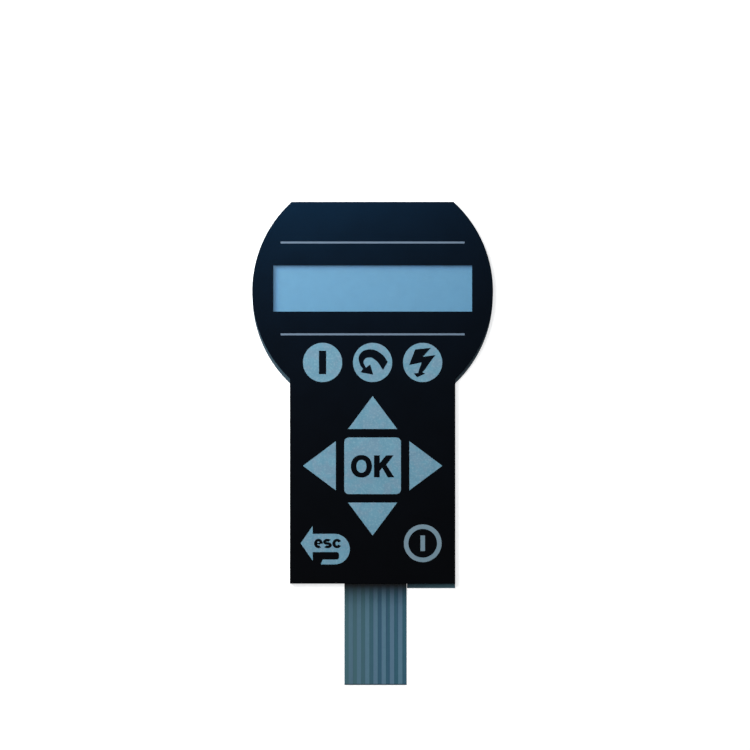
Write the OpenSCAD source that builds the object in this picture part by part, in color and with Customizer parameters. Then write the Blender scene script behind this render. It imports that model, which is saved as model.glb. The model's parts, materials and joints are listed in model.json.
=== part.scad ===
// Membrane keypad: a stack of die-cut films with a printed key matrix, snap domes and a flat tail.
// It lies face up on its release liner. The origin is on the liner's rear face, under the centre
// of the round head, with +Y towards the flat top edge and +Z out of the face.

/* [Face] */
// Radius of the round head
head_r = 37; // [33:0.5:42]
// Height of the flat top edge above the head's centre
head_top = 27.4; // [22:0.2:32]
// Width of the straight body below the head
body_w = 50.8; // [44:0.2:58]
// Radius of the fillet where the head runs into the body
neck_r = 1; // [0.5:0.1:4]

/* [Display window] */
// Height of the clear window
window_h = 14.2; // [10:0.2:18]
// Distance from the window's upper corners across to the head's round edge
window_side = 5.6; // [4:0.1:12]
// Height of the window's centre above the head's centre
window_rise = 0.8; // [0:0.1:3]
// How much larger on each side the window is cut in the layers below the print
window_margin = 0.5; // [0.2:0.1:1]
// Gap between the window and the thin rule on each side of it
rule_gap = 6.7; // [4:0.05:8]
// Thickness of each rule's line
rule_w = 0.6; // [0.4:0.1:1.2]
// How far each end of a rule lies inside the window's ends
rule_inset = 2.3; // [0:0.1:8]

/* [Round keys] */
// Gap between the lower rule and the round keys
round_gap = 2.3; // [2:0.1:5]
// Gap between neighbouring round keys
key_gap = 3.3; // [2:0.1:4.5]
// Distance from the outer round keys and the arrows' tips to the body's sides
side_margin = 4; // [3:0.1:5.5]

/* [Arrow pad] */
// Gap between the middle round key and the tip of the arrow below it
pad_gap = 4.3; // [3:0.1:8]
// Side of the square middle key
ok_w = 17.4; // [14:0.1:21]
// Corner radius of the middle key
ok_corner_r = 1.45; // [0.5:0.05:3]
// Gap between the middle key and the base of each arrow
arrow_gap = 2.6; // [1.5:0.1:3.5]
// Width of an arrow across its base
arrow_w = 15.1; // [12:0.1:17]

/* [Foot keys] */
// Distance of the foot keys below the middle key's centre
foot_row_l = 23.8; // [20:0.1:30]
// Distance of the foot edge below the foot keys
foot_margin = 12.4; // [12:0.1:20]
// Outer diameter of the power key's ring
power_d = 11.6; // [10:0.1:14]
// Width of the power key's ring
power_ring_w = 1.4; // [0.8:0.1:2.5]
// Width of the upright bar inside the power key's ring
power_bar_w = 1.4; // [0.8:0.1:2.2]
// Height of the upright bar inside the power key's ring
power_bar_h = 4.8; // [3:0.1:6]
// Distance from the power key to the body's side
power_side = 4.2; // [3.2:0.1:6]
// Distance from the escape key's tip to the body's side
esc_side = 3.3; // [2.5:0.1:5]
// Length of the escape key's arrow head
esc_head_l = 3.7; // [2.5:0.1:4.5]
// Height of the escape key's arrow head across its barbs
esc_head_h = 10.7; // [9.5:0.1:14]
// Height of the escape key's upper band
esc_band_h = 5.6; // [4.5:0.1:7]
// How far the band's middle lies above the arrow head's middle
esc_band_rise = 0.1; // [0:0.05:0.5]
// Height of the slot below the band
esc_slot_h = 2.3; // [1.5:0.1:2.8]
// Height of the lower leg below the slot
esc_leg_h = 1.5; // [1:0.1:3]
// Distance from the escape key's tip to the centre of its turn
esc_turn_x = 10.4; // [8.5:0.1:12.5]
// How far the slot reaches past the centre of the turn
esc_slot_reach = 1.4; // [0.8:0.1:2]
// Corner radius at the closed end of the slot
esc_slot_r = 0.7; // [0.3:0.05:0.75]
// Distance from the centre of the turn to the open end of the lower leg
esc_leg_l = 4.2; // [3:0.1:4.9]
// How far the lower leg's end leans
esc_leg_lean = 0.55; // [0:0.05:0.8]

/* [Layers, from the back] */
// Thickness of the release liner
liner_t = 0.15; // [0.08:0.01:0.25]
// Thickness of the rear adhesive
rear_adhesive_t = 0.13; // [0.05:0.01:0.2]
// Thickness of the circuit film and its tail
circuit_t = 0.125; // [0.1:0.005:0.2]
// Thickness of the printed silver
track_t = 0.025; // [0.015:0.005:0.04]
// Thickness of the adhesive under the spacer
spacer_adhesive_t = 0.08; // [0.06:0.01:0.15]
// Thickness of the spacer film
spacer_t = 0.3; // [0.3:0.01:0.5]
// Thickness of the adhesive under the dome retainer
retainer_adhesive_t = 0.05; // [0.05:0.01:0.1]
// Thickness of the dome retainer
retainer_t = 0.075; // [0.05:0.005:0.125]
// Thickness of the adhesive under the front film
face_adhesive_t = 0.05; // [0.03:0.01:0.1]
// Thickness of the clear front film
film_t = 0.175; // [0.1:0.005:0.25]
// Thickness of the black print
print_t = 0.04; // [0.02:0.005:0.06]
// How far the pale print lies below the surface of the black print
pale_inset = 0.01; // [0.005:0.001:0.015]

/* [Domes] */
// Diameter of a snap dome
dome_d = 8.4; // [7.6:0.1:8.8]
// Thickness of the dome's metal
dome_t = 0.06; // [0.04:0.01:0.08]
// Width of the flat rim that a dome stands on
dome_rim_w = 0.3; // [0.2:0.05:0.5]
// Width of the steep skirt between the rim and the crown
dome_skirt_w = 0.7; // [0.5:0.05:1]
// Diameter of the dimple in the dome's crown
dome_dimple_d = 1.6; // [1:0.1:2.4]
// Depth of the dimple
dome_dimple_h = 0.05; // [0.02:0.01:0.08]
// Gap between a dome's crown and the retainer above it
dome_headroom = 0.02; // [0.01:0.01:0.05]
// Gap between a dome's rim and the hole in the spacer round it
dome_clearance = 0.5; // [0.4:0.1:0.8]
// Width of the vent channels that join the dome holes
vent_w = 1; // [0.6:0.1:1.6]

/* [Circuit] */
// Width of a track
track_w = 0.8; // [0.5:0.1:0.9]
// Smallest gap between tracks
track_gap = 0.8; // [0.5:0.1:0.9]
// Width of the border that no track enters
border_w = 1.8; // [1.2:0.1:2]
// How far a ring pad reaches past the dome's rim
ring_overhang = 0.2; // [0.1:0.05:0.3]
// Width of a ring pad
ring_w = 1.2; // [0.8:0.1:1.5]
// Diameter of the contact pad under a dome's middle
contact_d = 2.6; // [2:0.1:3.2]
// Length that is cut off each side of a track's corner
corner_cut = 1.2; // [0.4:0.1:2]

/* [Tail] */
// Distance of the tail's middle to the right of the face's middle
tail_x = 0.9; // [-1.5:0.1:1.5]
// Length of the tail out of the foot edge
tail_l = 31.3; // [15:0.1:60]
// Distance between neighbouring tracks on the tail
tail_pitch = 2.54; // [2:0.01:3]
// Width of a track on the tail
tail_track_w = 1.3; // [0.8:0.1:1.6]
// Width of the bare edge beside the outer tracks on the tail
tail_margin = 1.3; // [0.5:0.05:3]
// Length over which the tail eases down to the surface
tail_ease_l = 7; // [4:0.5:12]
// Length inside the foot edge where the tracks have their tail width
tail_lead_l = 0.9; // [0.5:0.1:1]

/* [Release liner] */
// How far the liner is shifted towards the foot
liner_shift = 1.5; // [0.5:0.05:2]
// Gap between the tail and the part of the liner beside it
liner_tail_gap = 0.1; // [0.1:0.05:1]

/* [Hidden] */
$fn = 96;
// How far a cutting shape runs past what it cuts
overrun = 1;
// Steps in the tail's ease and in a dome's crown
ease_steps = 12;
crown_steps = 6;
// Height of a triangle's centroid above its base
centroid_share = 1 / 3;
// Part of a dome's inner height that its skirt takes, and of the dimple's radius that is flat
skirt_share = 0.4;
dimple_floor_share = 0.5;
// Most of a stretch of track that the cut corner at one of its ends may take
corner_share = 0.4;

// Heights of the layers' lower faces
rear_adhesive_z = liner_t;
circuit_z = rear_adhesive_z + rear_adhesive_t;
track_z = circuit_z + circuit_t;
spacer_z = track_z + spacer_adhesive_t;
retainer_adhesive_z = spacer_z + spacer_t;
retainer_z = retainer_adhesive_z + retainer_adhesive_t;
face_adhesive_z = retainer_z + retainer_t;
film_z = face_adhesive_z + face_adhesive_t;
print_z = film_z + film_t;

// Window and rules: the window's upper corners keep their distance from the head's round edge
window_top = window_rise + window_h / 2;
window_w = 2 * (sqrt(pow(head_r, 2) - pow(window_top, 2)) - window_side);
rule_l = window_w - 2 * rule_inset;
rule_offset = window_h / 2 + rule_gap + rule_w / 2;

// Key layout: across the body, the round keys and the arrows fill the width between the margins
round_d = (body_w - 2 * side_margin - 2 * key_gap) / 3;
round_pitch = round_d + key_gap;
arrow_base = ok_w / 2 + arrow_gap;
arrow_h = body_w / 2 - side_margin - arrow_base;
power_x = body_w / 2 - power_side - power_d / 2;
esc_tip_x = body_w / 2 - esc_side;
esc_turn_r = (esc_band_h + esc_slot_h + esc_leg_h) / 2;

// Key layout: down the face, each row keeps its gap from the row above
round_drop = rule_offset - window_rise + rule_w / 2 + round_gap + round_d / 2;
pad_drop = round_drop + round_d / 2 + pad_gap + arrow_h + arrow_base;
foot_row_drop = pad_drop + foot_row_l;
foot_drop = foot_row_drop + foot_margin;

// Sizes that follow from the domes
dome_z = track_z + track_t;
dome_h = retainer_z - dome_headroom - dome_z;
dome_hole_d = dome_d + 2 * dome_clearance;
ring_r = dome_d / 2 + ring_overhang;
ring_mid_r = ring_r - ring_w / 2;
ring_gap_w = track_w + 2 * track_gap;
lane_pitch = track_w + track_gap;

// Key names and the places of their domes
KEYS = ["start", "return", "fault", "up", "left", "ok", "right", "down", "esc", "power"];
arrow_dome = arrow_base + arrow_h * centroid_share;
start_at = [-round_pitch, -round_drop];
return_at = [0, -round_drop];
fault_at = [round_pitch, -round_drop];
ok_at = [0, -pad_drop];
up_at = ok_at + [0, arrow_dome];
left_at = ok_at - [arrow_dome, 0];
right_at = ok_at + [arrow_dome, 0];
down_at = ok_at - [0, arrow_dome];
esc_at = [(esc_turn_x + esc_turn_r) / 2 - esc_tip_x, -foot_row_drop];
power_at = [power_x, -foot_row_drop];
PLACES = [start_at, return_at, fault_at, up_at, left_at, ok_at, right_at, down_at, esc_at, power_at];

// Lanes that tracks follow along the edges, counted inwards from the border
function edge_x(lane) = body_w / 2 - border_w - track_w / 2 - lane * lane_pitch;
function foot_y(lane) = -foot_drop + border_w + track_w / 2 + lane * lane_pitch;
upper_lane_y = -round_drop + ring_r + track_gap + track_w / 2;

// The tail and its tracks, counted from the left
TAIL_TRACKS = 7;
tail_w = (TAIL_TRACKS - 1) * tail_pitch + tail_track_w + 2 * tail_margin;
function tail_track_x(i) = tail_x + (i - (TAIL_TRACKS - 1) / 2) * tail_pitch;
function tail_join(i) = [tail_track_x(i), -foot_drop + tail_lead_l / 2];

// Line of the tail's underside as [y, z]: level inside the foot edge, then a smooth ease down to
// the surface, then flat on it
ease = [
    for (i = [0:ease_steps]) let (run = i / ease_steps)
    [-foot_drop - tail_ease_l * run, circuit_z * (1 + cos(180 * run)) / 2]
];
TAIL_LINE = concat([[-foot_drop + tail_lead_l, circuit_z]], ease, [[-foot_drop - tail_l, 0]]);

// Outlines of the die-cut layers

// Fills the corner between the head and the body's right side with a concave fillet
module neck_fillet() {
    side = body_w / 2;
    reach = head_r + neck_r;
    centre = [side + neck_r, -sqrt(pow(reach, 2) - pow(side + neck_r, 2))];
    touch = centre * head_r / reach;
    difference() {
        polygon([[side - neck_r, centre.y], centre, touch, [side - neck_r, touch.y]]);
        translate(centre) circle(r = neck_r);
    }
}

// The face: a round head with a flat top edge, and a straight body
module face_outline() {
    intersection() {
        circle(r = head_r);
        translate([-head_r, -head_r]) square([2 * head_r, head_r + head_top]);
    }
    translate([-body_w / 2, -foot_drop]) square([body_w, foot_drop]);
    neck_fillet();
    mirror([1, 0]) neck_fillet();
}

// The window, or the larger opening for it in the layers below the print
module window_outline(margin = 0) {
    size = [window_w, window_h] + 2 * margin * [1, 1];
    translate([0, window_rise]) square(size, center = true);
}

module framed_outline() {
    difference() {
        face_outline();
        window_outline(window_margin);
    }
}

// The spacer has a hole round each dome, and vents that join the holes
module spacer_outline() {
    difference() {
        framed_outline();
        for (place = PLACES) translate(place) circle(d = dome_hole_d);
        for (vent = [
            [start_at, fault_at],
            [return_at, down_at],
            [left_at, right_at],
            [down_at, esc_at],
            [down_at, power_at]
        ]) polygon(ribbon(vent, vent_w));
    }
}

// The liner lies out of register: it stands out at the foot to the right of the tail, and is
// trimmed flush with the foot edge elsewhere
module liner_outline() {
    difference() {
        translate([0, -liner_shift]) face_outline();
        translate([-body_w / 2 - overrun, -foot_drop - liner_shift - overrun]) square([
            body_w / 2 + overrun + tail_x + tail_w / 2 + liner_tail_gap,
            liner_shift + overrun
        ]);
    }
}

// Outlines of the pale print

module rounded_square(size, r) {
    square([size.x, size.y - 2 * r], center = true);
    square([size.x - 2 * r, size.y], center = true);
    for (x = [-1, 1], y = [-1, 1]) translate([x * (size.x / 2 - r), y * (size.y / 2 - r)]) circle(r = r);
}

module rule_outline(side) {
    translate([0, window_rise + side * rule_offset]) square([rule_l, rule_w], center = true);
}

// An arrow beside the middle key that points away from it, turned from pointing up
module arrow_outline(turn) {
    translate(ok_at) rotate(turn) polygon([
        [-arrow_w / 2, arrow_base],
        [arrow_w / 2, arrow_base],
        [0, arrow_base + arrow_h]
    ]);
}

// A bent arrow from its tip on: head and upper band, the turn, and the lower leg below a slot
module esc_outline() {
    head = esc_head_h / 2;
    band_top = esc_band_rise + esc_band_h / 2;
    band_foot = esc_band_rise - esc_band_h / 2;
    turn_y = band_top - esc_turn_r;
    leg_top = band_foot - esc_slot_h;
    leg_foot = turn_y - esc_turn_r;
    leg_x = esc_turn_x - esc_leg_l;
    translate([-esc_tip_x, -foot_row_drop]) {
        polygon([
            [0, 0],
            [esc_head_l, -head],
            [esc_head_l, band_foot],
            [esc_turn_x, band_foot],
            [esc_turn_x, band_top],
            [esc_head_l, band_top],
            [esc_head_l, head]
        ]);
        polygon([
            [leg_x, leg_foot],
            [esc_turn_x, leg_foot],
            [esc_turn_x, leg_top],
            [leg_x + esc_leg_lean, leg_top]
        ]);
        difference() {
            translate([esc_turn_x, turn_y]) circle(r = esc_turn_r);
            translate([esc_turn_x - 2 * esc_turn_r, turn_y - 2 * esc_turn_r])
                square([2 * esc_turn_r, 4 * esc_turn_r]);
            translate([esc_turn_x, leg_top + esc_slot_h / 2])
                rounded_square([2 * esc_slot_reach, esc_slot_h], esc_slot_r);
        }
    }
}

module power_outline() {
    translate(power_at) {
        difference() {
            circle(d = power_d);
            circle(d = power_d - 2 * power_ring_w);
        }
        square([power_bar_w, power_bar_h], center = true);
    }
}

// The printed field of one key
module key_outline(key) {
    if (key == "start") translate(start_at) circle(d = round_d);
    if (key == "return") translate(return_at) circle(d = round_d);
    if (key == "fault") translate(fault_at) circle(d = round_d);
    if (key == "up") arrow_outline(0);
    if (key == "left") arrow_outline(90);
    if (key == "ok") translate(ok_at) rounded_square([ok_w, ok_w], ok_corner_r);
    if (key == "right") arrow_outline(-90);
    if (key == "down") arrow_outline(180);
    if (key == "esc") esc_outline();
    if (key == "power") power_outline();
}

// Outlines of the printed circuit

function unit(v) = v / norm(v);

// How far a band's left edge lies from its path at point i, for a half width of one
function mitre(path, i) =
    let (last = len(path) - 1)
    let (from = max(i, 1))
    let (to = min(i, last - 1))
    let (before = unit(path[from] - path[from - 1]))
    let (after = unit(path[to + 1] - path[to]))
    let (sum = before + after)
    [-sum.y, sum.x] / (1 + before * after);

// Outline of a band along a path, with mitred corners
function ribbon(path, w) = concat(
    [for (i = [0:len(path) - 1]) path[i] - mitre(path, i) * w / 2],
    [for (i = [len(path) - 1:-1:0]) path[i] + mitre(path, i) * w / 2]
);

// Length to cut off each side of a path's corner
function corner_length(path, i) = min(
    corner_cut,
    corner_share * norm(path[i] - path[i - 1]),
    corner_share * norm(path[i + 1] - path[i])
);

// A path with each of its corners cut off
function cut_corners(path) = [
    for (i = [0:len(path) - 1])
    each i == 0 || i == len(path) - 1 ? [path[i]] : let (cut = corner_length(path, i)) [
        path[i] - unit(path[i] - path[i - 1]) * cut,
        path[i] + unit(path[i + 1] - path[i]) * cut
    ]
];

module track(path) {
    polygon(ribbon(cut_corners(path), track_w));
}

// Ring pad that a dome's rim stands on. Its lower gap lets the column's track out, and its upper
// gap lets it in: the dome itself joins the two halves
module ring_pad(place, gaps) {
    translate(place) difference() {
        circle(r = ring_r);
        circle(r = ring_r - ring_w);
        for (turn = gaps) rotate(turn)
            translate([-ring_gap_w / 2, 0]) square([ring_gap_w, ring_r + overrun]);
    }
}
OPEN_BELOW = [180];
OPEN_THROUGH = [0, 180];

// A point in the middle of a ring pad's band, by its angle
function on_ring(place, angle) = place + ring_mid_r * [cos(angle), sin(angle)];

// A link between the rings of two keys: along, across and along again
module row_link(a, b) {
    from = on_ring(a, 0);
    to = on_ring(b, 180);
    middle = (from.x + to.x) / 2;
    track([from, [middle, from.y], [middle, to.y], to]);
}

module row_1_outline() {
    ring_pad(start_at, OPEN_BELOW);
    ring_pad(up_at, OPEN_THROUGH);
    ring_pad(fault_at, OPEN_BELOW);
    row_link(start_at, up_at);
    row_link(up_at, fault_at);
    track([
        on_ring(fault_at, 0),
        [edge_x(0), fault_at.y],
        [edge_x(0), foot_y(0)],
        [tail_track_x(6), foot_y(0)],
        tail_join(6)
    ]);
}

module row_2_outline() {
    ring_pad(return_at, OPEN_BELOW);
    track([
        on_ring(return_at, 90),
        [return_at.x, upper_lane_y],
        [-edge_x(0), upper_lane_y],
        [-edge_x(0), foot_y(0)],
        [tail_track_x(0), foot_y(0)],
        tail_join(0)
    ]);
}

module row_3_outline() {
    for (place = [left_at, ok_at, right_at]) ring_pad(place, OPEN_THROUGH);
    polygon(ribbon([on_ring(left_at, 0), on_ring(ok_at, 180)], track_w));
    polygon(ribbon([on_ring(ok_at, 0), on_ring(right_at, 180)], track_w));
    track([
        on_ring(left_at, 180),
        [-edge_x(1), left_at.y],
        [-edge_x(1), foot_y(1)],
        [tail_track_x(1), foot_y(1)],
        tail_join(1)
    ]);
}

module row_4_outline() {
    for (place = [esc_at, down_at, power_at]) ring_pad(place, OPEN_THROUGH);
    row_link(esc_at, down_at);
    row_link(down_at, power_at);
    leave = on_ring(power_at, -45);
    track([
        leave,
        [leave.x, foot_y(1)],
        [tail_track_x(5), foot_y(1)],
        tail_join(5)
    ]);
}

// Way of a column's track from one key to the next: straight out of the ring's lower gap, then
// across, then straight into the next ring's upper gap
function column_leg(a, b) = [
    a,
    a - [0, ring_r + track_gap],
    b + [0, ring_r + track_gap]
];

module column_outline(keys, end) {
    for (place = keys) translate(place) circle(d = contact_d);
    polygon(ribbon(concat(
        [for (i = [0:len(keys) - 2]) each column_leg(keys[i], keys[i + 1])],
        cut_corners(concat([keys[len(keys) - 1]], end))
    ), track_w));
}

module column_left_outline() {
    column_outline([start_at, left_at, esc_at], [
        [esc_at.x, foot_y(2)],
        [tail_track_x(2), foot_y(2)],
        tail_join(2)
    ]);
}

module column_centre_outline() {
    column_outline([return_at, up_at, ok_at, down_at], [
        [down_at.x, foot_y(2)],
        [tail_track_x(3), foot_y(0)],
        tail_join(3)
    ]);
}

module column_right_outline() {
    column_outline([fault_at, right_at, power_at], [
        [power_at.x, foot_y(2)],
        [tail_track_x(4), foot_y(2)],
        tail_join(4)
    ]);
}

// The conductors in the order of their tracks on the tail
module conductor_outline(i) {
    if (i == 0) row_2_outline();
    if (i == 1) row_3_outline();
    if (i == 2) column_left_outline();
    if (i == 3) column_centre_outline();
    if (i == 4) column_right_outline();
    if (i == 5) row_4_outline();
    if (i == 6) row_1_outline();
}
CONDUCTORS = [
    "track_row_2",
    "track_row_3",
    "track_column_left",
    "track_column_centre",
    "track_column_right",
    "track_row_4",
    "track_row_1"
];

// Sub-parts

module layer(z, t) {
    translate([0, 0, z]) linear_extrude(t) children();
}

// A strip of the tail from one height to another above its underside
module tail_strip(x, w, base, t) {
    count = len(TAIL_LINE);
    translate([x - w / 2, 0, 0]) rotate([90, 0, 90]) linear_extrude(w) polygon(concat(
        [for (i = [0:count - 1]) TAIL_LINE[i] + [0, base]],
        [for (i = [count - 1:-1:0]) TAIL_LINE[i] + [0, base + t]]
    ));
}

module front_film() {
    color([0.75, 0.88, 0.95, 0.4]) layer(film_z, film_t) face_outline();
}

module face_print() {
    color([0.04, 0.06, 0.09]) layer(print_z, print_t) difference() {
        face_outline();
        window_outline();
        rule_outline(-1);
        rule_outline(1);
        for (key = KEYS) key_outline(key);
    }
}

module pale_print() {
    color([0.56, 0.72, 0.8]) layer(print_z, print_t - pale_inset) children();
}

module face_adhesive() {
    color([0.85, 0.88, 0.85]) layer(face_adhesive_z, face_adhesive_t) framed_outline();
}

module dome_retainer() {
    color([0.8, 0.86, 0.88]) layer(retainer_z, retainer_t) framed_outline();
}

module retainer_adhesive() {
    color([0.85, 0.88, 0.85]) layer(retainer_adhesive_z, retainer_adhesive_t) spacer_outline();
}

// A snap dome: flat rim, steep skirt, shallow crown and a dimple in the middle, at an even thickness
module snap_dome() {
    rim_r = dome_d / 2;
    skirt_r = rim_r - dome_rim_w;
    crown_r = skirt_r - dome_skirt_w;
    dimple_r = dome_dimple_d / 2;
    inner_h = dome_h - dome_t;
    skirt_h = inner_h * skirt_share;
    underside = concat(
        [[rim_r, 0], [skirt_r, 0]],
        [
            for (i = [0:crown_steps])
            let (r = crown_r + (dimple_r - crown_r) * i / crown_steps)
            let (rise = (pow(crown_r, 2) - pow(r, 2)) / (pow(crown_r, 2) - pow(dimple_r, 2)))
            [r, skirt_h + (inner_h - skirt_h) * rise]
        ],
        [[dimple_r * dimple_floor_share, inner_h - dome_dimple_h], [0, inner_h - dome_dimple_h]]
    );
    count = len(underside);
    rotate_extrude() polygon(concat(
        underside,
        [for (i = [count - 1:-1:0]) underside[i] + [0, dome_t]]
    ));
}

module dome(i) {
    color([0.78, 0.78, 0.76]) translate([PLACES[i].x, PLACES[i].y, dome_z]) snap_dome();
}

module spacer_film() {
    color([0.9, 0.92, 0.93]) layer(spacer_z, spacer_t) spacer_outline();
}

// The adhesive under the spacer closes round the tracks, which lie on the circuit film
module spacer_adhesive() {
    color([0.85, 0.88, 0.85]) difference() {
        layer(track_z, spacer_adhesive_t) spacer_outline();
        for (i = [0:TAIL_TRACKS - 1]) {
            layer(track_z - overrun, track_t + overrun) conductor_outline(i);
            tail_strip(tail_track_x(i), tail_track_w, circuit_t - overrun, track_t + overrun);
        }
    }
}

module conductor(i) {
    color([0.62, 0.72, 0.78]) {
        layer(track_z, track_t) conductor_outline(i);
        tail_strip(tail_track_x(i), tail_track_w, circuit_t, track_t);
    }
}

module circuit_film() {
    color([0.55, 0.68, 0.74]) {
        layer(circuit_z, circuit_t) framed_outline();
        tail_strip(tail_x, tail_w, 0, circuit_t);
    }
}

module rear_adhesive() {
    color([0.85, 0.88, 0.85]) layer(rear_adhesive_z, rear_adhesive_t) framed_outline();
}

module release_liner() {
    color([0.5, 0.66, 0.76]) layer(0, liner_t) liner_outline();
}

front_film();
face_print();
pale_print() rule_outline(1);  // rule_upper
pale_print() rule_outline(-1);  // rule_lower
for (key = KEYS) pale_print() key_outline(key);
face_adhesive();
dome_retainer();
retainer_adhesive();
for (i = [0:len(KEYS) - 1]) dome(i);
spacer_film();
spacer_adhesive();
for (i = [0:TAIL_TRACKS - 1]) conductor(i);
circuit_film();
rear_adhesive();
release_liner();
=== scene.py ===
# Membrane keypad: the finish of every film, print, tape and dome, and the signs on the keys.
import json
import math

import bmesh
import bpy
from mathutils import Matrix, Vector


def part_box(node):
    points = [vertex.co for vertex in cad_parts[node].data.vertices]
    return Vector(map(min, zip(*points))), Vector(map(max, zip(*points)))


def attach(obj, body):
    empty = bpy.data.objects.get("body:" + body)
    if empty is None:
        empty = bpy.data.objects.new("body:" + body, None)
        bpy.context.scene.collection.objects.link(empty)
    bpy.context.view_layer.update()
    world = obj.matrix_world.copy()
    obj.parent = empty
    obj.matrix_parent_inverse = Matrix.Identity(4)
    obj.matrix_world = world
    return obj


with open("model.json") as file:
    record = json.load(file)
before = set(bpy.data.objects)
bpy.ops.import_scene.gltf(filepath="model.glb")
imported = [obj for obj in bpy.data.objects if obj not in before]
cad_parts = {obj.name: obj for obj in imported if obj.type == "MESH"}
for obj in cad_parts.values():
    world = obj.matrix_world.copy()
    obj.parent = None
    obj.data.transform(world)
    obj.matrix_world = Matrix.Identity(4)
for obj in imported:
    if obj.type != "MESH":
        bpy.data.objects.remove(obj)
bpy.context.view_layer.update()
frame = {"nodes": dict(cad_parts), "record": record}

MM = 0.001
BODY = "root"

# Places on the face, from the frame


def middle(node):
    """The middle of a node seen from the front, in millimetres."""
    low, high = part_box(node)
    return (low + high).xy / 2 / MM


def top_of(node):
    """Height of a node's front face, in millimetres."""
    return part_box(node)[1].z / MM


KEYS = ["start", "return", "fault", "up", "left", "ok", "right", "down", "esc", "power"]
key_places = {key: middle(f"key_{key}") for key in KEYS}
dome_places = {key: middle(f"dome_{key}") for key in KEYS}
dome_d = (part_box("dome_ok")[1].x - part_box("dome_ok")[0].x) / MM
print_top = top_of("face_print")
key_top = top_of("key_ok")
liner_middle = top_of("release_liner") / 2
foot_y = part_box("front_film")[0].y / MM
tail_end_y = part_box("circuit_film")[0].y / MM

# Sizes in millimetres that the frame doesn't give: the window's middle and half sizes, the reach
# of the painted shade below the foot edge, where that painted shade turns lighter on the liner,
# the height above which pale print is a rule, the power key's radius, and where the tail's dark
# end starts and is full
WINDOW_RISE = 0.8
WINDOW_HALF_W = 30.5
WINDOW_HALF_H = 7.1
FOOT_SHADE = 3.6
LINER_FOOT_LIFT_X = (8, 24)
RULES_FROM = -15.4
POWER_R = 6.4
TAIL_END = (0.5, 0.2)


def linear(red, green, blue):
    """A colour given as it shows on screen, 0 to 255, as Blender's linear colour."""
    shown = [value / 255 for value in (red, green, blue)]
    return (*[v / 12.92 if v <= 0.04045 else ((v + 0.055) / 1.055) ** 2.4 for v in shown], 1.0)


def grey(level):
    """A grey given in linear light."""
    return (level, level, level, 1.0)


# Shader maths


class Wire:
    """An output of a material's node. An expression on wires and numbers adds Math nodes."""

    def __init__(self, finish, socket):
        self.finish = finish
        self.socket = socket

    def maths(self, operation, *values):
        return self.finish.node("ShaderNodeMath", {"operation": operation}, dict(enumerate(values)))

    def __add__(self, other):
        return self.maths("ADD", self, other)

    def __radd__(self, other):
        return self.maths("ADD", other, self)

    def __sub__(self, other):
        return self.maths("SUBTRACT", self, other)

    def __rsub__(self, other):
        return self.maths("SUBTRACT", other, self)

    def __mul__(self, other):
        return self.maths("MULTIPLY", self, other)

    def __rmul__(self, other):
        return self.maths("MULTIPLY", other, self)

    def __truediv__(self, other):
        return self.maths("DIVIDE", self, other)

    def __rtruediv__(self, other):
        return self.maths("DIVIDE", other, self)

    def __gt__(self, other):
        return self.maths("GREATER_THAN", self, other)

    def __abs__(self):
        return self.maths("ABSOLUTE", self)

    def clamped(self):
        return self.maths("MINIMUM", self.maths("MAXIMUM", self, 0.0), 1.0)


class Finish:
    """One procedural material. Its patterns are laid out in millimetres on Object coordinates."""

    def __init__(self, name, **constants):
        self.material = bpy.data.materials.new(name)
        self.material.use_nodes = True
        self.tree = self.material.node_tree
        self.surface = self.tree.nodes["Principled BSDF"]
        self.set(**constants)
        coordinates = self.node("ShaderNodeTexCoord", output="Object")
        self.place = self.node("ShaderNodeMapping", {}, {
            "Vector": coordinates, "Scale": (1 / MM,) * 3,
        })
        parts = self.node("ShaderNodeSeparateXYZ", {}, {"Vector": self.place}, output=None)
        self.x, self.y, self.z = (Wire(self, socket) for socket in parts.outputs)

    def node(self, kind, settings=None, inputs=None, output=0):
        """Adds a node: its settings first, then the values or wires of its sockets."""
        made = self.tree.nodes.new(kind)
        for name, value in (settings or {}).items():
            setattr(made, name, value)
        for key, value in (inputs or {}).items():
            self.plug(self.socket(made.inputs, key), value)
        if output is None:
            return made
        return Wire(self, self.socket(made.outputs, output))

    def socket(self, sockets, key):
        if isinstance(key, int):
            return sockets[key]
        return next(socket for socket in sockets if socket.enabled and socket.name == key)

    def plug(self, socket, value):
        if isinstance(value, Wire):
            self.tree.links.new(value.socket, socket)
        else:
            socket.default_value = value

    def set(self, **inputs):
        """Sets or wires sockets of the surface shader, named with underscores."""
        for name, value in inputs.items():
            self.plug(self.surface.inputs[name.replace("_", " ")], value)

    def noise(self, size, detail=2.0, roughness=0.5, stretch=(1, 1, 1)):
        """Noise from 0 to 1 with patches of about the given size in millimetres."""
        scaled = self.node("ShaderNodeMapping", {}, {"Vector": self.place, "Scale": stretch})
        return self.node("ShaderNodeTexNoise", {}, {
            "Vector": scaled, "Scale": 1 / size, "Detail": detail, "Roughness": roughness,
        }, output="Fac" if bpy.app.version < (5, 0) else "Factor")

    def mix(self, amount, first, second):
        """A colour between two colours."""
        return self.node("ShaderNodeMix", {"data_type": "RGBA"}, {
            "Factor": amount, "A": first, "B": second,
        }, output="Result")

    def step(self, value, low, high):
        """A smooth step from 0 at low to 1 at high."""
        return self.node("ShaderNodeMapRange", {"interpolation_type": "SMOOTHSTEP"}, {
            "Value": value, "From Min": low, "From Max": high,
        })

    def distance(self, place):
        """Distance from a point on the face, in millimetres."""
        flat = self.node("ShaderNodeCombineXYZ", {}, {"X": self.x, "Y": self.y})
        return self.node("ShaderNodeVectorMath", {"operation": "DISTANCE"}, {
            0: flat, 1: (place[0], place[1], 0.0),
        }, output="Value")

    def bump(self, height):
        """Wires a height in millimetres to the surface's normal."""
        self.set(Normal=self.node("ShaderNodeBump", {}, {"Height": height * MM, "Distance": 1.0}))


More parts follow.
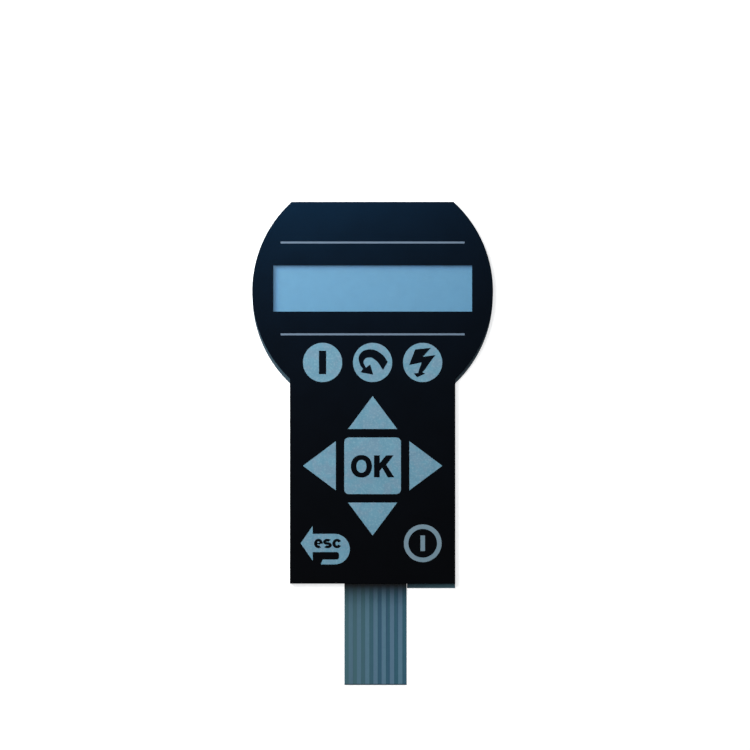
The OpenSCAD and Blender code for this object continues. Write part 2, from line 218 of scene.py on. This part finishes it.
def dome_marks(finish):
    """Faint rings where the domes press up from below, from 0 to 1."""
    marks = 0.0
    for place in dome_places.values():
        away = finish.distance(place)
        ring = 1 - finish.step(abs(away - dome_d / 2), 0.15, 0.75)
        marks = marks + ring
    return marks


def foot_shade(finish):
    """Shade on what comes out from under the foot edge, from 1 at the edge to 0 further off."""
    away = (foot_y - finish.y) / FOOT_SHADE
    return 1 / (1 + away * away)


def tail_colour(finish, colour):
    """Darkens a colour at the cut end of the tail, and paints shade where the tail leaves the
    stack.
    """
    end = finish.step(finish.y, tail_end_y + TAIL_END[0], tail_end_y + TAIL_END[1])
    colour = finish.mix(0.7 * end, colour, linear(34, 52, 66))
    # Painted shade where the tail comes out from under the stack, darkest at the foot edge.
    return finish.mix(0.97 * foot_shade(finish), colour, linear(20, 20, 22))


# Finishes


def black_print():
    """Satin black ink with a bluish sheen and a fine grain."""
    ink = Finish("black_print", Specular_IOR_Level=0.3, Specular_Tint=(0.05, 0.4, 1.0, 1.0))
    grain = ink.noise(0.12, 3.0, 0.6)
    clouds = ink.noise(9.0, 3.0, 0.55)
    specks = ink.step(ink.noise(0.5, 2.0, 0.5), 0.66, 0.74)
    colour = ink.mix(clouds, linear(10, 9, 8), linear(12, 11, 10))
    ink.set(Base_Color=ink.mix(specks * 0.25, colour, linear(15, 18, 22)))
    ink.set(Roughness=0.2 + 0.05 * clouds + 0.03 * grain)
    ink.bump(0.0009 * grain + 0.006 * dome_marks(ink) + 0.02 * ink.noise(16.0, 1.0))
    return ink.material


def pale_print():
    """Satin blue-grey ink with a silvery grain and faint marks of the domes. The rules are more
    lilac, the power key greyer."""
    ink = Finish("pale_print", Specular_IOR_Level=0.4)
    grain = ink.noise(0.16, 3.0, 0.6)
    clouds = ink.noise(3.2, 3.0, 0.6)
    flakes = ink.step(ink.noise(0.6, 2.0, 0.6), 0.5, 0.64)
    lilac = ink.step(ink.noise(2.4, 2.0, 0.5), 0.42, 0.64)
    marks = dome_marks(ink)
    colour = ink.mix(clouds, linear(88, 141, 166), linear(121, 172, 195))
    colour = ink.mix(0.35 * grain, colour, linear(127, 176, 198))
    colour = ink.mix(0.4 * lilac, colour, linear(130, 154, 177))
    colour = ink.mix(0.3 * flakes, colour, linear(162, 198, 211))
    power = 1 - ink.step(ink.distance(key_places["power"]), POWER_R, POWER_R + 0.5)
    colour = ink.mix(0.7 * power, colour, linear(129, 149, 161))
    colour = ink.mix(0.9 * (ink.y > RULES_FROM), colour, linear(112, 130, 152))
    ink.set(Base_Color=ink.mix(marks * 0.16, colour, linear(92, 132, 158)))
    ink.set(Roughness=0.38 + 0.1 * grain)
    ink.bump(0.0008 * grain + 0.006 * marks)
    return ink.material


def clear_film():
    """Clear satin film: it veils what lies behind it a little."""
    film = Finish("clear_film", IOR=1.57)
    haze = film.noise(5.0, 3.0, 0.6)
    grain = film.noise(0.14, 2.0, 0.5)
    film.set(Base_Color=film.mix(haze, linear(112, 172, 212), linear(132, 188, 222)))
    film.set(Alpha=0.1 + 0.05 * haze)
    film.set(Roughness=0.26 + 0.08 * grain)
    film.bump(0.0005 * grain)
    return film.material


def liner_film():
    """Smooth blue release film with faint drawing streaks and a slight mottle. It is pale where
    the window lets light through, and painted dark as shade under and beside the rest of the
    stack. Only its front takes the painted light along the window's upper and left edges and
    the painted shade at the foot, which is lighter towards the right."""
    film = Finish("liner_film")
    front = film.z > liner_middle
    streaks = film.noise(0.6, 3.0, 0.6, (1.0, 0.03, 1.0))
    mottle = film.noise(4.0, 4.0, 0.6)
    colour = film.mix(mottle, linear(102, 165, 204), linear(116, 180, 216))
    colour = film.mix(0.3 * streaks, colour, linear(124, 182, 212))
    rise = film.y - WINDOW_RISE
    # Painted light: along the window's upper and left edges, where the stack's shadow falls, the
    # front is a brighter blue that lightens that shadow.
    shadow_lift = film.step(rise, WINDOW_HALF_H - 2, WINDOW_HALF_H)
    shadow_lift = shadow_lift + film.step(-1 * film.x, WINDOW_HALF_W - 2.4, WINDOW_HALF_W)
    colour = film.mix(0.85 * front * shadow_lift.clamped(), colour, linear(104, 176, 240))
    # Painted shade: outside the window the film is dark, as under and beside the rest of the stack.
    stack_shade = film.step(abs(film.x), WINDOW_HALF_W + 1, WINDOW_HALF_W + 2)
    stack_shade = stack_shade + film.step(abs(rise), WINDOW_HALF_H + 1, WINDOW_HALF_H + 2)
    colour = film.mix(stack_shade.clamped(), colour, linear(54, 80, 94))
    # Painted light: on the front just below the foot edge, the painted shade is lighter towards the
    # right.
    foot = front * foot_shade(film) * film.step(film.x, *LINER_FOOT_LIFT_X)
    film.set(Base_Color=film.mix(foot, colour, linear(74, 112, 124)))
    film.set(Roughness=0.26 + 0.12 * streaks)
    film.bump(0.0015 * streaks + 0.01 * film.noise(7.0, 2.0))
    return film.material


def circuit_film():
    """Blue-grey polyester film with a soft gloss, and painted shade where the tail leaves the
    stack.
    """
    film = Finish("circuit_film")
    drawn = film.noise(0.7, 3.0, 0.6, (1.0, 0.05, 1.0))
    mottle = film.noise(2.6, 3.0, 0.6)
    slate = film.step(film.noise(1.6, 2.0, 0.5, (1.0, 0.04, 1.0)), 0.4, 0.6)
    colour = film.mix(mottle, linear(54, 98, 118), linear(66, 112, 132))
    colour = film.mix(0.4 * drawn, colour, linear(58, 112, 126))
    colour = film.mix(0.45 * slate, colour, linear(62, 96, 128))
    colour = film.mix(0.75 * film.step(film.x, 3, -5), colour, linear(80, 118, 126))
    film.set(Base_Color=tail_colour(film, colour))
    film.set(Roughness=0.3 + 0.12 * drawn)
    film.bump(0.001 * drawn)
    return film.material


def silver_print():
    """Conductive silver ink: a matt metallic flake with the fine mesh of the printing screen."""
    ink = Finish("silver_print", Metallic=0.35)
    flake = ink.noise(0.09, 3.0, 0.65)
    mottle = ink.noise(1.4, 3.0, 0.6)
    mesh = (ink.node("ShaderNodeMath", {"operation": "SINE"}, {0: ink.x * 42.0})
            * ink.node("ShaderNodeMath", {"operation": "SINE"}, {0: ink.y * 42.0}))
    lilac = ink.step(ink.noise(2.2, 2.0, 0.5, (1.0, 0.04, 1.0)), 0.4, 0.6)
    colour = ink.mix(mottle, linear(96, 144, 168), linear(112, 158, 182))
    colour = ink.mix(0.35 * flake, colour, linear(126, 168, 192))
    colour = ink.mix(0.4 * lilac, colour, linear(112, 140, 176))
    colour = ink.mix(0.5 * ink.step(ink.x, 4, -8), colour, linear(90, 126, 142))
    # Painted shade where the tail leaves the stack, and the darkened cut end.
    ink.set(Base_Color=tail_colour(ink, colour))
    ink.set(Roughness=0.44 + 0.16 * flake)
    ink.bump(0.0012 * flake + 0.0006 * mesh)
    return ink.material


def adhesive():
    """Translucent tape: milky, with small trapped bubbles."""
    tape = Finish("adhesive", IOR=1.47)
    bubbles = tape.node("ShaderNodeTexVoronoi", {"feature": "F1"}, {
        "Vector": tape.place, "Scale": 1.6, "Randomness": 1.0,
    }, output="Distance")
    rims = 1 - tape.step(abs(bubbles - 0.16), 0.02, 0.07)
    mottle = tape.noise(1.8, 3.0, 0.6)
    colour = tape.mix(mottle, linear(140, 148, 146), linear(160, 167, 164))
    tape.set(Base_Color=tape.mix(0.3 * rims, colour, linear(186, 192, 188)))
    tape.set(Roughness=0.45 + 0.12 * mottle)
    tape.bump(0.002 * rims + 0.002 * mottle)
    return tape.material


def inner_film():
    """Clear polyester of the inner layers, with a slight haze and drawing lines."""
    film = Finish("inner_film", IOR=1.57)
    drawn = film.noise(0.5, 3.0, 0.6, (1.0, 0.04, 1.0))
    haze = film.noise(6.0, 3.0, 0.6)
    colour = film.mix(haze, linear(150, 162, 170), linear(170, 181, 187))
    film.set(Base_Color=film.mix(0.3 * drawn, colour, linear(134, 150, 162)))
    film.set(Roughness=0.26 + 0.14 * drawn)
    film.bump(0.001 * drawn)
    return film.material


def dome_steel():
    """Bright spring steel with fine rolling lines and faint warm stains."""
    steel = Finish("dome_steel", Metallic=1.0)
    rolled = steel.noise(0.2, 4.0, 0.7, (1.0, 0.02, 1.0))
    stain = steel.noise(2.0, 3.0, 0.6)
    colour = steel.mix(rolled, linear(188, 188, 184), linear(212, 212, 208))
    steel.set(Base_Color=steel.mix(0.25 * stain, colour, linear(196, 186, 170)))
    steel.set(Roughness=0.22 + 0.16 * rolled)
    steel.bump(0.0012 * rolled)
    return steel.material


FINISHES = {
    "black_print": black_print(),
    "pale_print": pale_print(),
    "clear_film": clear_film(),
    "liner_film": liner_film(),
    "circuit_film": circuit_film(),
    "silver_print": silver_print(),
    "adhesive": adhesive(),
    "inner_film": inner_film(),
    "dome_steel": dome_steel(),
}


def dress(piece, finish):
    piece.data.materials.clear()
    piece.data.materials.append(FINISHES[finish])


for part in frame["record"]["subparts"]:
    dress(frame["nodes"][part["node"]], part["material_slot"])

# Signs on the keys: each is cut out flat in millimetres about its key, and then gets its thickness


def new_sign(name, mesh, place):
    """Puts a flat sign on a key and makes it as high as the black print."""
    bmesh.ops.remove_doubles(mesh, verts=mesh.verts, dist=0.001)
    bmesh.ops.recalc_face_normals(mesh, faces=mesh.faces)
    if sum(face.normal.z for face in mesh.faces) < 0:
        bmesh.ops.reverse_faces(mesh, faces=mesh.faces)
    front = bmesh.ops.extrude_face_region(mesh, geom=mesh.faces[:], use_keep_orig=True)["geom"]
    raised = [part for part in front if isinstance(part, bmesh.types.BMVert)]
    bmesh.ops.translate(mesh, verts=raised, vec=(0, 0, print_top - key_top))
    bmesh.ops.translate(mesh, verts=mesh.verts, vec=(*place, key_top))
    bmesh.ops.scale(mesh, verts=mesh.verts, vec=(MM, MM, MM))
    bmesh.ops.recalc_face_normals(mesh, faces=mesh.faces)
    data = bpy.data.meshes.new(name)
    mesh.to_mesh(data)
    mesh.free()
    sign = bpy.data.objects.new(name, data)
    bpy.context.scene.collection.objects.link(sign)
    data.materials.append(FINISHES["black_print"])
    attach(sign, BODY)


def add_outline(mesh, corners):
    """Adds a flat face with straight sides."""
    mesh.faces.new([mesh.verts.new((x, y, 0)) for x, y in corners])


def add_bar(mesh, centre, width, height):
    """Adds a flat upright bar."""
    made = bmesh.ops.create_grid(mesh, x_segments=1, y_segments=1, size=0.5)["verts"]
    bmesh.ops.scale(mesh, verts=made, vec=(width, height, 1))
    bmesh.ops.translate(mesh, verts=made, vec=(*centre, 0))


def add_ring(mesh, centre, outer, inner, gap=None, fullness=1.0):
    """Adds a flat ring between two ellipses, left open between two angles in degrees. A fullness
    under 1 draws the ellipses out towards their corners."""
    loops = []
    for radii in (outer, inner):
        verts = bmesh.ops.create_circle(mesh, segments=RING_STEPS, radius=1)["verts"]
        for vert in verts:
            for axis in (0, 1):
                vert.co[axis] = math.copysign(abs(vert.co[axis]) ** fullness, vert.co[axis])
        bmesh.ops.scale(mesh, verts=verts, vec=(*radii, 1))
        loops += {edge for vert in verts for edge in vert.link_edges}
    ring = bmesh.ops.bridge_loops(mesh, edges=loops)["faces"]
    if gap:
        cut = [face for face in ring if in_gap(face.calc_center_median(), gap)]
        bmesh.ops.delete(mesh, geom=cut, context="FACES")
    left = {vert for face in ring if face.is_valid for vert in face.verts}
    bmesh.ops.translate(mesh, verts=list(left), vec=(*centre, 0))


def in_gap(point, gap):
    """Says whether a point lies between two angles, counted in degrees against the clock."""
    angle = math.degrees(math.atan2(point.y, point.x))
    return (angle - gap[0]) % 360 < (gap[1] - gap[0]) % 360


def add_curve(mesh, points):
    """Adds a flat face with a drawn outline: True marks the points where it runs round smoothly."""
    data = bpy.data.curves.new("outline", "CURVE")
    data.dimensions = "2D"
    data.fill_mode = "BOTH"
    data.resolution_u = CURVE_STEPS
    spline = data.splines.new("BEZIER")
    spline.bezier_points.add(len(points) - 1)
    spline.use_cyclic_u = True
    for knot, (x, y, smooth) in zip(spline.bezier_points, points):
        knot.co = (x, y, 0)
        knot.handle_left_type = knot.handle_right_type = "AUTO" if smooth else "VECTOR"
    drawn = bpy.data.objects.new("outline", data)
    bpy.context.scene.collection.objects.link(drawn)
    bpy.context.view_layer.update()
    evaluated = drawn.evaluated_get(bpy.context.evaluated_depsgraph_get())
    flat = bpy.data.meshes.new_from_object(evaluated)
    mesh.from_mesh(flat)
    bpy.data.objects.remove(drawn)
    bpy.data.meshes.remove(flat)


# How finely rings and curves are drawn, the start key's bar, and how far esc sits above the
# middle of its key
RING_STEPS = 72
CURVE_STEPS = 10
START_BAR = (2.24, 7.2)
ESC_RISE = 0.5

# The return arrow, from its blunt end back over the top to its head: x, y, and whether it is smooth
RETURN_ARROW = [
    (4.65, 0.18, False),
    (2.85, 2.55, True),
    (-0.9, 4.0, True),
    (-3.95, 2.45, True),
    (-3.85, -0.7, True),
    (-2.95, -1.95, False),
    (-3.7, -3.05, False),
    (0.15, -3.75, False),
    (-0.72, -0.6, False),
    (-2.05, -1.6, False),
    (-2.75, 0.45, True),
    (-1.15, 1.52, True),
    (1.0, 0.6, True),
    (3.2, -2.38, False),
]

# The bolt, from its top left corner round with the clock, with a small arrow head at its foot
BOLT = [
    (-2.3, 4.0),
    (2.55, 4.48),
    (0.08, 1.75),
    (3.95, 2.28),
    (2.35, 0.2),
    (0.7, -2.2),
    (-0.1, -3.0),
    (0.78, -3.42),
    (-1.65, -4.56),
    (-2.72, -3.38),
    (-1.35, -3.2),
    (-1.1, -2.2),
    (-0.3, 0.0),
    (-4.15, -0.8),
]

# The letter K, from the foot of its stem against the clock
LETTER_K = [
    (0.43, -3.55),
    (2.2, -3.55),
    (2.2, -1.55),
    (2.98, -0.63),
    (4.64, -3.55),
    (6.68, -3.55),
    (4.2, 0.28),
    (6.43, 3.2),
    (4.13, 3.2),
    (2.2, 0.83),
    (2.2, 3.2),
    (0.43, 3.2),
]


def start_sign():
    mesh = bmesh.new()
    add_bar(mesh, (0, 0), *START_BAR)
    new_sign("sign_start", mesh, key_places["start"])


def return_sign():
    mesh = bmesh.new()
    add_curve(mesh, RETURN_ARROW)
    new_sign("sign_return", mesh, key_places["return"])


def fault_sign():
    mesh = bmesh.new()
    add_outline(mesh, BOLT)
    new_sign("sign_fault", mesh, key_places["fault"])


def ok_sign():
    """The letters OK, bold and upright."""
    mesh = bmesh.new()
    add_ring(mesh, (-3.43, -0.16), (3.23, 3.47), (1.54, 1.98), fullness=0.93)
    add_outline(mesh, LETTER_K)
    new_sign("sign_ok", mesh, key_places["ok"])


def esc_sign():
    """The letters esc, small and bold, counted from the tip of the key's arrow."""
    mesh = bmesh.new()
    e_x, s_x, c_x = 5.47, 8.24, 11.16
    outer = Vector((1.34, 1.44))
    c_half_w = 1.42
    stroke = Vector((0.96, 0.82))
    bar_y, bar_h, bar_lap = -0.02, 0.5, 0.3
    inner = outer - stroke
    add_ring(mesh, (e_x, 0), outer, inner, gap=(-58, -8))
    add_bar(mesh, (e_x, bar_y), 2 * inner.x + bar_lap, bar_h)
    bowl = Vector((outer.x, (outer.y + stroke.y / 2) / 2))
    hole = bowl - stroke
    step = (outer.y - stroke.y / 2) / 2
    add_ring(mesh, (s_x, step), bowl, hole, gap=(-90, 28))
    add_ring(mesh, (s_x, -step), bowl, hole, gap=(90, 208))
    add_ring(mesh, (c_x, 0), (c_half_w, outer.y), (c_half_w - stroke.x, inner.y), gap=(-34, 34))
    low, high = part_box("key_esc")
    new_sign("sign_esc", mesh, (low.x / MM, (low.y + high.y) / 2 / MM + ESC_RISE))


for make_sign in (start_sign, return_sign, fault_sign, ok_sign, esc_sign):
    make_sign()

# Camera, floor and light. The view and the floor's glow are in millimetres, the floor in metres

VIEW_W = 230.34
VIEW_CENTRE = (0.74, -25.79)
LENS = 85
SENSOR_W = 36
FLOOR_R = 4
FLOOR_GLOW_NEAR = 0.62
FLOOR_GLOW_FAR = 0.92
FLOOR_GLOW_RISE = (250, 1200)
ROOM_LOW = 1.0
ROOM_OVERHEAD = 0.02
ROOM_FALL = 4.0


def make_camera():
    """A camera straight above the face, as far away as the photograph's view asks."""
    data = bpy.data.cameras.new("camera")
    data.lens = LENS
    data.sensor_width = SENSOR_W
    distance = VIEW_W * MM * data.lens / data.sensor_width
    camera = bpy.data.objects.new("camera", data)
    bpy.context.scene.collection.objects.link(camera)
    height = print_top * MM + distance
    camera.location = (VIEW_CENTRE[0] * MM, VIEW_CENTRE[1] * MM, height)
    bpy.context.scene.camera = camera


def make_floor():
    """A wide white floor. Its glow reaches the camera, metal and glass only, it keeps the shadow
    and it is stronger far off, where the lamps don't reach."""
    mesh = bmesh.new()
    bmesh.ops.create_circle(mesh, cap_ends=True, segments=96, radius=FLOOR_R)
    data = bpy.data.meshes.new("floor")
    mesh.to_mesh(data)
    mesh.free()
    floor = bpy.data.objects.new("floor", data)
    bpy.context.scene.collection.objects.link(floor)
    white = Finish("floor_white", Roughness=0.9, Specular_IOR_Level=0.0)
    rays = white.node("ShaderNodeLightPath", output=None)
    seen = sum(Wire(white, rays.outputs[name]) for name in
               ("Is Camera Ray", "Is Glossy Ray", "Is Transmission Ray"))
    white.set(Base_Color=linear(236, 238, 240), Emission_Strength=seen)
    far = white.step(white.distance((0, 0)), *FLOOR_GLOW_RISE)
    white.set(Emission_Color=white.mix(far, grey(FLOOR_GLOW_NEAR), grey(FLOOR_GLOW_FAR)))
    data.materials.append(white.material)


def make_lamp(name, place, target, size, power, mirrored=True):
    """A flat lamp that points to a target. One that isn't mirrored leaves no glare on the face."""
    data = bpy.data.lights.new(name, "AREA")
    data.shape = "RECTANGLE"
    data.size, data.size_y = size
    data.energy = power
    lamp = bpy.data.objects.new(name, data)
    bpy.context.scene.collection.objects.link(lamp)
    lamp.visible_glossy = mirrored
    lamp.location = Vector(place)
    way = Vector(target) - Vector(place)
    lamp.rotation_mode = "QUATERNION"
    lamp.rotation_quaternion = way.to_track_quat("-Z", "Y")


def make_room():
    """A room that is dark overhead and white at the horizon."""
    world = bpy.data.worlds.new("room")
    bpy.context.scene.world = world
    world.use_nodes = True
    nodes, links = world.node_tree.nodes, world.node_tree.links
    direction = nodes.new("ShaderNodeTexCoord").outputs["Generated"]
    parts = nodes.new("ShaderNodeSeparateXYZ")
    links.new(direction, parts.inputs[0])
    shade = nodes.new("ShaderNodeMapRange")
    links.new(parts.outputs["Z"], shade.inputs["Value"])
    shade.inputs["To Min"].default_value = 1.0
    shade.inputs["To Max"].default_value = 0.0
    fall = nodes.new("ShaderNodeMath")
    fall.operation = "POWER"
    links.new(shade.outputs[0], fall.inputs[0])
    fall.inputs[1].default_value = ROOM_FALL
    light = nodes.new("ShaderNodeMath")
    light.operation = "MULTIPLY_ADD"
    links.new(fall.outputs[0], light.inputs[0])
    light.inputs[1].default_value = ROOM_LOW
    light.inputs[2].default_value = ROOM_OVERHEAD
    links.new(light.outputs[0], nodes["Background"].inputs["Strength"])
    nodes["Background"].inputs["Color"].default_value = (1.0, 1.0, 1.0, 1.0)


def make_light():
    """A soft key light over the head from the left, and one nearly overhead that gives the black
    print its sheen."""
    face = (0, -0.03, 0)
    make_lamp("lamp_key", place=(-0.24, 0.18, 0.2), target=face, size=(0.3, 0.2), power=1.95,
              mirrored=False)
    make_lamp("lamp_sheen", place=(-0.09, 0.28, 1.1), target=face, size=(0.34, 0.1), power=2.2)


make_camera()
make_floor()
make_room()
make_light()
bpy.context.scene.view_settings.view_transform = "Standard"
